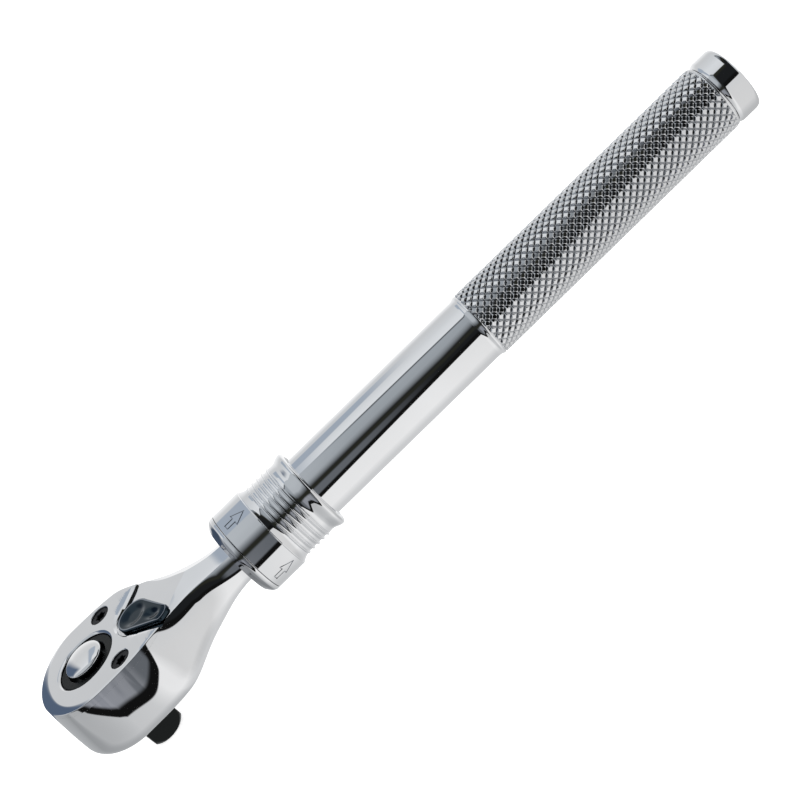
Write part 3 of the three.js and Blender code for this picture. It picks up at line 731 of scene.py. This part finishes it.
def make_face_plate():
    plate = head_form("face_plate_skin")
    below = slab("below_plate", 70, 0, SEAT_Z + 0.015)
    ring_outline = soften([(0, 36), (11.15, 36), (11.15, PLATE_TOP - 0.6, 0.2),
                           (11.85, PLATE_TOP, 0.3), (13.5, PLATE_TOP + 0.02), (13.5, OPEN_TOP),
                           (0, OPEN_TOP)])
    ring_hole = lathe("ring_hole", ring_outline, "z", 128)
    combine(plate, below, notch_cutter(), ring_hole, screw_well(1), screw_well(-1))
    finish(plate, "head", "chrome_plate", "face_plate", bevel=0.03)


def lobes(radius, z, depth=0.14, count=96):
    """A ring with six lobes."""
    points = []
    for step in range(count):
        angle = 2 * math.pi * step / count
        reach = radius * (1 - depth + depth * math.cos(6 * angle))
        points.append((reach * math.cos(angle), reach * math.sin(angle), z))
    return points


def make_screw(number, side):
    top = AXIS_Z + 12.3
    recess, mouth = 1.95, 2.25
    outline = soften([(0, 29), (1.9, 29, 0.4), (1.9, 38.1), (3.6, 38.9), (3.6, top, 0.25), (0, top)])
    screw = lathe("face_screw_%d_head" % number, outline, "z", 72)
    combine(screw, loft("recess", [
        lobes(0.75 * recess, top - 1.7),
        lobes(recess, top - 1.4),
        lobes(recess, top - 0.2),
        lobes(mouth, top + 0.05),
        lobes(mouth, top + 1),
    ]))
    move(screw, SCREW_X, side * SCREW_Y)
    finish(screw, "head", "black_screw", "face_screw_%d" % number, bevel=0.06)


# ---------------------------------------------------------------- drive and quick release
DRIVE_TURN = math.radians(15)
SQUARE_HALF = 6.35
TEETH = 72
TOOTH_TIP, TOOTH_ROOT = 12.6, 12.0
PIN_BORE = 2.6
BALL_Z = 6.5
BALL_RADIUS = 2.4
BALL_OUT = 0.9


def make_square():
    corners = [(-SQUARE_HALF, -SQUARE_HALF), (SQUARE_HALF, -SQUARE_HALF),
               (SQUARE_HALF, SQUARE_HALF), (-SQUARE_HALF, SQUARE_HALF)]
    square = prism("square", corners, 0, 18)
    tip = soften([(0, 0), (6.3, 0, 0.5), (8.3, 2.3, 1.6), (8.8, 5.2, 1.2), (8.8, 17), (0, 17)])
    combine(square, lathe("tip", tip, "z", 96), operation="INTERSECT")
    return move(square, turn=DRIVE_TURN)


def make_teeth():
    outline = []
    for step in range(2 * TEETH):
        angle = math.pi * step / TEETH
        radius = TOOTH_TIP if step % 2 == 0 else TOOTH_ROOT
        outline.append((radius * math.cos(angle), radius * math.sin(angle)))
    return prism("teeth", outline, 20.5, 36.4)


def make_ball_hole():
    outline = soften([(0, 0), (2.5, 0), (2.5, 6.1), (2.9, 6.6), (2.9, 8), (0, 8)])
    hole = lathe("ball_hole", outline, "z", 40)
    lie_down = Matrix.Rotation(-math.pi / 2, 4, "X")
    hole.data.transform(Matrix.Translation((0, 0, BALL_Z)) @ lie_down)
    return move(hole, turn=DRIVE_TURN)


def make_drive():
    well, boss, boss_top = 7.9, 10.9, 39.0
    outline = soften([
        (0, HEAD_BASE_Z - 0.6), (9.6, HEAD_BASE_Z - 0.6, 0.3), (10.1, HEAD_BASE_Z, 0.2), (10.1, 19.5),
        (11.6, 19.5), (11.6, 37.4), (boss, 37.4), (boss, boss_top, 0.4), (well, boss_top, 0.35),
        (well, 31.5, 0.3), (PIN_BORE, 31.5), (PIN_BORE, 2.5), (0, 2.5),
    ])
    core = lathe("drive_gear_skin", outline, "z", 128)
    combine(core, make_square(), make_teeth(), operation="UNION")
    combine(core, make_ball_hole(), drum("pin_bore", PIN_BORE, 2.5, 32.5, 40))
    finish(core, "drive", "black_drive", "drive_gear", bevel=0.18)


def make_button():
    edge, dome, radius = AXIS_Z + 13.5, 2.1, 7.3
    fullness, steps = 0.92, 24
    outline = soften([(0, 36), (5.6, 36), (5.6, 39.4), (6.6, 39.4, 0.3), (radius, 40.2, 0.3),
                      (radius, edge)])
    for step in range(1, steps + 1):
        turn = math.pi / 2 * step / steps
        reach = radius * math.cos(turn) ** fullness if step < steps else 0
        outline.append((reach, edge + dome * math.sin(turn)))
    button = lathe("release_button_cap", outline, "z", 96)
    finish(button, "button", "chrome_button", "release_button")


def make_detent_ball():
    steps = 24
    outline = []
    for step in range(steps + 1):
        turn = math.pi * step / steps
        radius = BALL_RADIUS * math.sin(turn) if 0 < step < steps else 0
        outline.append((radius, -BALL_RADIUS * math.cos(turn)))
    ball = lathe("detent_ball_round", outline, "z", 48)
    centre = Vector((0, SQUARE_HALF + BALL_OUT - BALL_RADIUS, BALL_Z))
    ball.data.transform(Matrix.Translation(Matrix.Rotation(DRIVE_TURN, 3, "Z") @ centre))
    finish(ball, "drive_ball", "bare_steel", "detent_ball")


# ---------------------------------------------------------------- reversing lever
PIVOT_END_RADIUS = 6.6
TIP_X = 13.8
TIP_ALONG, TIP_ACROSS = 2.8, 3.5
LEVER_RINGS = 22


def lever_outline():
    """Outline along +X from the pivot: a round end, straight sides and a blunt rounded tip."""
    end_steps, tip_steps, side_steps = 48, 24, 14
    points = []
    for step in range(end_steps + 1):
        turn = math.radians(70 + 220 * step / end_steps)
        points.append((PIVOT_END_RADIUS * math.cos(turn), PIVOT_END_RADIUS * math.sin(turn)))
    tip = []
    for step in range(tip_steps + 1):
        turn = math.radians(-60 + 120 * step / tip_steps)
        tip.append((TIP_X + TIP_ALONG * math.cos(turn), TIP_ACROSS * math.sin(turn)))
    near_side = straight(points[-1], tip[0], side_steps)
    far_side = straight(tip[-1], points[0], side_steps)
    return points + near_side + tip + far_side


def straight(start, end, count):
    a, b = Vector(start), Vector(end)
    return [tuple(a.lerp(b, i / count)) for i in range(1, count)]


def lever_relief(x, y):
    """How far the lever's top lies below its rim: a dished pivot end and an oval thumb dimple."""
    dish = 0.8 * (1 - smooth_step(2.2, 5.6, math.hypot(x, y)))
    dimple = 0.85 * (1 - smooth_step(0.1, 1.0, math.hypot((x - 9.6) / 4.6, y / 2.9)))
    tip = 0.6 * smooth_step(13.0, 16.6, x)
    return dish + dimple + tip


def toward_spine(x, y, distance):
    """A point moved by distance towards the lever's middle line, and no further than that line."""
    middle = Vector((min(max(0.72 * x, 0.0), 11.0), 0.0))
    point = Vector((x, y))
    gap = middle - point
    if gap.length <= distance:
        return tuple(middle)
    return tuple(point + distance * gap.normalized())


def lever_top_ring(outline, part, roll, top):
    """A ring of the lever's top, part of the way from its rim to its middle line."""
    lip, whole_way = 0.12, 100
    ring = []
    for x, y in outline:
        x1, y1 = toward_spine(x, y, roll)
        x2, y2 = toward_spine(x, y, whole_way)
        x3, y3 = x1 + (x2 - x1) * part, y1 + (y2 - y1) * part
        drop = (lip + lever_relief(x3, y3)) * smooth_step(0.02, 0.12, part)
        ring.append((x3, y3, top - drop))
    return ring


def make_lever():
    outline = lever_outline()
    bottom, top, roll = SEAT_Z + 0.3, AXIS_Z + 12.7, 0.45
    rings = [
        [(0.95 * x, 0.95 * y, bottom) for x, y in outline],
        [(x, y, bottom + 0.25) for x, y in outline],
    ]
    for step in range(5):
        turn = math.pi / 2 * step / 4
        inset = roll * (1 - math.cos(turn))
        z = top - roll * (1 - math.sin(turn))
        rings.append([(*toward_spine(x, y, inset), z) for x, y in outline])
    for ring in range(1, LEVER_RINGS + 1):
        rings.append(lever_top_ring(outline, ring / LEVER_RINGS, roll, top))
    blade = loft("reverse_lever_blade", rings)
    shaft = soften([(0, 22), (3.5, 22, 0.3), (3.5, 22.8), (3, 22.8), (3, 23.8), (3.5, 23.8),
                    (3.5, bottom + 0.5), (0, bottom + 0.5)])
    combine(blade, lathe("shaft", shaft, "z", 48), operation="UNION")
    move(blade, LEVER_X, turn=LEVER_REST)
    finish(blade, "lever", "lever_grey", "reverse_lever", sharp=38)


# ---------------------------------------------------------------- lock collar
COLLAR_RADIUS = 15.9
RIBS = 5
RIB_PITCH = 2.15
RIB_HALF_WIDTH = 0.45
RIB_RADIUS, VALLEY_RADIUS = 14.95, 14.45
FIRST_CREST_X = 76.1
FLARE_END_X = 88.6
BALLS_X = 70
ARROW_TURNS = (112.0, 203.5, 292.0, 22.0)


def make_nose_ring():
    outline = soften([(8.5, 57.6), (13.4, 57.6, 0.3), (15.35, 59.1, 0.6), (COLLAR_RADIUS, 60.2, 0.3),
                      (COLLAR_RADIUS, 61.4, 0.2), (9.9, 61.4), (9.9, 59), (8.5, 59)], closed=True)
    ring = lathe("nose_ring_skin", outline, steps=192, closed=True)
    finish(ring, "handle", "chrome_collar", "nose_ring")


def collar_ribs():
    """Narrow round crests with shallow hollows between them."""
    points = []
    for rib in range(RIBS):
        crest = FIRST_CREST_X + rib * RIB_PITCH
        points += soften([
            (VALLEY_RADIUS, crest - RIB_HALF_WIDTH), (RIB_RADIUS, crest - 0.17, 0.14),
            (RIB_RADIUS, crest + 0.17, 0.14), (VALLEY_RADIUS, crest + RIB_HALF_WIDTH),
        ])
        if rib + 1 == RIBS:
            break
        for step in range(1, 8):
            t = step / 4 - 1
            x = crest + RIB_PITCH / 2 + t * (RIB_PITCH / 2 - RIB_HALF_WIDTH)
            points.append((VALLEY_RADIUS - 0.13 * (1 - t * t), x))
    return points


def collar_outline():
    """The plain band, a cove, the ribs, the flare with its rim, and the inside."""
    band = [(COLLAR_RADIUS - 0.2, 61.5), (COLLAR_RADIUS, 61.7)]
    band += [(COLLAR_RADIUS, 61.8 + 0.5 * step) for step in range(1, 22)]
    band += [(COLLAR_RADIUS, 72.7), (COLLAR_RADIUS - 0.3, 72.95), (COLLAR_RADIUS - 0.3, 73.1)]
    cove = []
    for step in range(7):
        t = step / 6
        cove.append((15.55 - 0.95 * math.sin(t * math.pi / 2), 73.1 + 2.5 * t))
    flare = []
    flare_start = FIRST_CREST_X + (RIBS - 1) * RIB_PITCH + RIB_HALF_WIDTH
    for step in range(1, 13):
        x = flare_start + (FLARE_END_X - flare_start) * step / 12
        flare.append((14.4 + (x - 86.6) ** 2 / 8, x))
    rim = soften([(14.9, FLARE_END_X), (15.45, 90.0, 0.7), (15.5, 91.1, 0.4), (15.1, 91.6, 0.3),
                  (14.5, 91.8)])[1:]
    inside = [(13.6, 91.8), (12.7, 89.8), (12.7, 74), (10.9, 74), (10.9, 69), (12.4, 66.9),
              (12.4, 61.5)]
    return band + cove + collar_ribs() + flare + rim + inside


def arrow_groove(angle):
    """A thin solid along an arrow's outline, bent round the collar at angle. It points to the
    handle."""
    half_line, side_steps = 0.19, 8
    head, stem = 2.15, 0.85
    tip_x, barb_x, end_x = 71.2, 66.8, 63.4
    floor, above = 15.7, 16.2
    corners = [(tip_x, 0), (barb_x, head), (barb_x, stem), (end_x, stem),
               (end_x, -stem), (barb_x, -stem), (barb_x, -head)]
    outer, inner = offset(corners, half_line), offset(corners, -half_line)
    rings = []
    for radius, line in ((floor, outer), (above, outer), (above, inner), (floor, inner)):
        ring = []
        for i, corner in enumerate(line):
            ahead = line[(i + 1) % len(line)]
            for step in range(side_steps):
                x = corner[0] + (ahead[0] - corner[0]) * step / side_steps
                across = corner[1] + (ahead[1] - corner[1]) * step / side_steps
                turn = angle + across / COLLAR_RADIUS
                ring.append((x, radius * math.cos(turn), AXIS_Z + radius * math.sin(turn)))
        rings.append(ring)
    size = len(rings[0])
    faces = []
    for k in range(4):
        for i in range(size):
            a, b = k * size, (k + 1) % 4 * size
            after = (i + 1) % size
            faces.append([a + i, a + after, b + after, b + i])
    return make_object("arrow", [v for ring in rings for v in ring], faces)


def offset(corners, distance):
    """A closed outline moved sideways by distance, with its corners mitred."""
    moved = []
    for i, corner in enumerate(corners):
        here = Vector(corner)
        back = (here - Vector(corners[i - 1])).normalized()
        ahead = (Vector(corners[(i + 1) % len(corners)]) - here).normalized()
        normal = Vector((back.y + ahead.y, -back.x - ahead.x)).normalized()
        stretch = 1 / max(normal.dot(Vector((ahead.y, -ahead.x))), 0.35)
        moved.append(here + distance * stretch * normal)
    return moved


def make_collar():
    collar = lathe("release_collar_sleeve", collar_outline(), steps=192, closed=True)
    combine(collar, *[arrow_groove(math.radians(turn)) for turn in ARROW_TURNS])
    finish(collar, "collar", "chrome_collar", "release_collar", sharp=30)


def make_lock_housing():
    outline = soften([(8.3, 60.3), (9.6, 60.3, 0.2), (9.6, 61.5), (10.5, 61.5, 0.2), (10.5, 84.2),
                      (9.8, 84.2), (9.8, 98), (8.3, 98)], closed=True)
    housing = lathe("lock_housing_skin", outline, steps=96, closed=True)
    holes = []
    for quarter_turns in (0, 1):
        hole = drum("ball_holes", 2.0, -12, 12, 40)
        turn = Matrix.Rotation(quarter_turns * math.pi / 2, 4, "X")
        hole.data.transform(Matrix.Translation((BALLS_X, 0, AXIS_Z)) @ turn)
        holes.append(hole)
    combine(housing, *holes)
    finish(housing, "handle", "bare_steel", "lock_housing")


# ---------------------------------------------------------------- springs
def make_spring(name, coil, wire, length):
    """A round wire of radius wire, wound three times about +Z from 0 to length."""
    turns, corners = 3, 12
    steps = 24 * turns
    rings = []
    for step in range(steps + 1):
        turn = 2 * math.pi * turns * step / steps
        height = wire + (length - 2 * wire) * step / steps
        ring = []
        for corner in range(corners):
            around = 2 * math.pi * corner / corners
            reach = coil + wire * math.cos(around)
            z = height + wire * math.sin(around)
            ring.append((reach * math.cos(turn), reach * math.sin(turn), z))
        rings.append(ring)
    return loft(name, rings)


def make_button_spring():
    low, length, press = 31.8, 3.9, 2.5
    spring = move(make_spring("button_spring_coil", 4.2, 0.4, length), z=low)
    finish(spring, "drive", "spring_steel", "button_spring")
    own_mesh(spring)


def make_collar_spring():
    low, length, slide = 74.3, 9.9, 4.5
    spring = make_spring("collar_spring_coil", 11.7, 0.45, length)
    lie_down = Matrix.Rotation(math.pi / 2, 4, "Y")
    spring.data.transform(Matrix.Translation((low, 0, AXIS_Z)) @ lie_down)
    finish(spring, "handle", "spring_steel", "collar_spring")
    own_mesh(spring)


# ---------------------------------------------------------------- bar and handle
BAR_RADIUS = 8
BAR_GROOVES = 7
GROOVE_FLOOR = 6.5
GROOVE_HALF_WIDTH = 2.5
EXTENSION = 140
TUBE_RADIUS = 11.9
GRIP_RADIUS = 12.5
GRIP_START, GRIP_END = 168.4, 273.6
GRIP_MIDDLE = (GRIP_START + GRIP_END) / 2
GRIP_HALF = (GRIP_END - GRIP_START) / 2
KNURL_STARTS = 25
KNURL_DEPTH = 0.6
KNURL_SLOPE = 0.25                                             # share of a pitch
KNURL_PITCH = 2 * math.pi * GRIP_RADIUS / KNURL_STARTS
KNURL_CUTS = [0.0, 0.08, 0.16, 0.24, 0.5, 0.76, 0.84, 0.92]    # grid lines in one pitch


def make_bar():
    outline = [(0, 46), (5, 46, 0.4), (5, 60.3), (7.9, 60.3, 0.15), (BAR_RADIUS, 60.6)]
    for groove in range(BAR_GROOVES):
        x = BALLS_X + groove * EXTENSION / (BAR_GROOVES - 1)
        outline += [(BAR_RADIUS, x - GROOVE_HALF_WIDTH, 0.5), (GROOVE_FLOOR, x, 1.4),
                    (BAR_RADIUS, x + GROOVE_HALF_WIDTH, 0.5)]
    outline += [(BAR_RADIUS, 239), (7.2, 239), (7.2, 242.6), (BAR_RADIUS, 242.6),
                (BAR_RADIUS, 245, 0.3), (7, 246, 0.3), (0, 246)]
    bar = lathe("slide_bar_skin", soften(outline), steps=96)
    finish(bar, "head", "chrome_bar", "slide_bar")


def make_tube():
    outline = soften([
        (10.1, 84.5), (11.5, 84.5, 0.2), (TUBE_RADIUS, 85, 0.2), (TUBE_RADIUS, 166.2, 0.9),
        (12.45, 167.3, 0.25), (12.45, 167.9, 0.2), (TUBE_RADIUS, 168.5), (TUBE_RADIUS, 273.5),
        (12.3, 273.9, 0.2), (12.3, 274.4, 0.3), (11.9, 274.7), (10.1, 274.7),
    ], closed=True)
    tube = lathe("handle_tube_skin", outline, steps=160, closed=True)
    finish(tube, "handle", "chrome_handle", "handle_tube")


def knurl_line(number):
    """Place of a grid line, in pitches."""
    return number // len(KNURL_CUTS) + KNURL_CUTS[number % len(KNURL_CUTS)]


def knurl_height(line):
    """Height of the knurl across one pitch, from 0 in a groove to 1 on a diamond."""
    return smooth_step(0.0, KNURL_SLOPE, min(line % 1, 1 - line % 1))


def knurl_grid():
    """A skin with 25 grooves each way at 45 degrees, as one grid along both sets. It reaches a
    little past the grip's ends."""
    lines = KNURL_STARTS * len(KNURL_CUTS)
    reach = 2 * (int(GRIP_HALF / KNURL_PITCH) + 3) * len(KNURL_CUTS)
    index, verts = {}, []
    for i in range(lines):
        a = knurl_line(i)
        for j in range(i - reach, i + reach + 1):
            b = knurl_line(j)
            x = GRIP_MIDDLE + (a - b) * KNURL_PITCH / 2
            if abs(x - GRIP_MIDDLE) > GRIP_HALF + KNURL_PITCH:
                continue
            radius = GRIP_RADIUS - KNURL_DEPTH * (1 - min(knurl_height(a), knurl_height(b)))
            turn = math.pi * (a + b) / KNURL_STARTS
            index[(i, j)] = len(verts)
            verts.append((x, radius * math.cos(turn), AXIS_Z + radius * math.sin(turn)))
    faces = []
    for (i, j), corner in index.items():
        wrap = lines if i + 1 == lines else 0
        others = [index.get((i + 1 - wrap, j - wrap)), index.get((i + 1 - wrap, j + 1 - wrap)),
                  index.get((i, j + 1))]
        if None not in others:
            faces.append([corner, *others])
    return make_object("grip_knurl", verts, faces)


def trim_knurl(work):
    """Cuts the skin off square at the grip's ends, and draws its rims in to just inside the tube."""
    for x, side in ((GRIP_START, -1), (GRIP_END, 1)):
        geom = work.verts[:] + work.edges[:] + work.faces[:]
        bmesh.ops.bisect_plane(work, geom=geom, plane_co=(x, 0, 0), plane_no=(side, 0, 0),
                               clear_outer=True)
    rim = [e for e in work.edges if e.is_boundary]
    made = bmesh.ops.extrude_edge_only(work, edges=rim)["geom"]
    inner = TUBE_RADIUS - 0.05
    for vert in (g for g in made if isinstance(g, bmesh.types.BMVert)):
        radius = math.hypot(vert.co.y, vert.co.z - AXIS_Z)
        vert.co.y *= inner / radius
        vert.co.z = AXIS_Z + (vert.co.z - AXIS_Z) * inner / radius


def make_knurl():
    knurl = knurl_grid()
    work = bmesh.new()
    work.from_mesh(knurl.data)
    trim_knurl(work)
    work.to_mesh(knurl.data)
    work.free()
    finish(knurl, "handle", "chrome_handle", "handle_tube", sharp=40, material="knurl")


def make_end_cap():
    outline = soften([
        (0, 264), (9.8, 264, 0.3), (9.8, 275), (11.7, 275, 0.2), (11.9, 275.3, 0.2),
        (12.1, 275.6, 0.3), (12.5, 276.4, 0.6), (12.5, 282.7, 0.9), (11.9, 283.8, 0.6),
        (11.0, 284, 0.6), (4.0, 284, 0.5), (3.2, 283.6, 0.4), (0, 283.5),
    ], steps=6)
    cap = lathe("end_cap_skin", outline, steps=160)
    finish(cap, "handle", "chrome_handle", "end_cap")


# ---------------------------------------------------------------- assembly
FINISHES = {
    "chrome_head": metal("head_chrome", CHROME, roughness=0.02, **POLISHED),
    "chrome_bar": metal("bar_chrome", (0.88, 0.885, 0.9), roughness=0.06, uneven=0.08,
                        bump=0.000004, grain=1500.0),
    "chrome_plate": metal("plate_chrome", (0.93, 0.935, 0.945), roughness=0.03, **POLISHED),
    "chrome_button": metal("button_chrome", (1.0, 1.0, 1.0), roughness=0.01, uneven=0.02),
    # The collar's arrow grooves get painted shade.
    "chrome_collar": metal("collar_chrome", CHROME, roughness=0.02, **POLISHED,
                           groove=ARROW_PAINTED_SHADE),
    "chrome_handle": metal("handle_chrome", CHROME, roughness=0.02, **POLISHED),
    # The knurl's grooves get painted shade.
    "knurl": metal("knurled_chrome", CHROME, roughness=0.03, **POLISHED,
                   groove=KNURL_PAINTED_SHADE),
    "black_drive": metal("black_oxide", (0.018, 0.02, 0.02), roughness=0.3, uneven=0.1,
                         bump=0.00003),
    "black_screw": metal("black_screw", (0.025, 0.025, 0.028), roughness=0.28, uneven=0.1,
                         bump=0.00003),
    # The lever's top rim gets a painted highlight.
    "lever_grey": metal("lever_coat", (0.032, 0.048, 0.062), roughness=0.12, uneven=0.05,
                        bump=0.00001, rim_glint=LEVER_RIM_HIGHLIGHT),
    "bare_steel": metal("bare_steel", (0.55, 0.55, 0.56), roughness=0.25, uneven=0.1,
                        bump=0.00002),
    "spring_steel": metal("spring_steel", (0.4, 0.4, 0.41), roughness=0.3, uneven=0.1,
                          bump=0.00002),
    "seal_rubber": metal("seal_rubber", (0.02, 0.02, 0.02), roughness=0.8, uneven=0.1,
                         bump=0.00002),
}
for row in frame["record"]["subparts"]:
    node = frame["nodes"][row["node"]]
    node.data.materials.clear()
    node.data.materials.append(FINISHES[row["material_slot"]])

make_head_body()
make_face_plate()
make_screw(1, 1)
make_screw(2, -1)
make_drive()
make_button()
make_button_spring()
make_detent_ball()
make_lever()
make_nose_ring()
make_collar()
make_lock_housing()
make_collar_spring()
make_bar()
make_tube()
make_knurl()
make_end_cap()

make_camera()
make_world()
make_dome()
make_floor()
bpy.context.scene.view_settings.view_transform = "Standard"
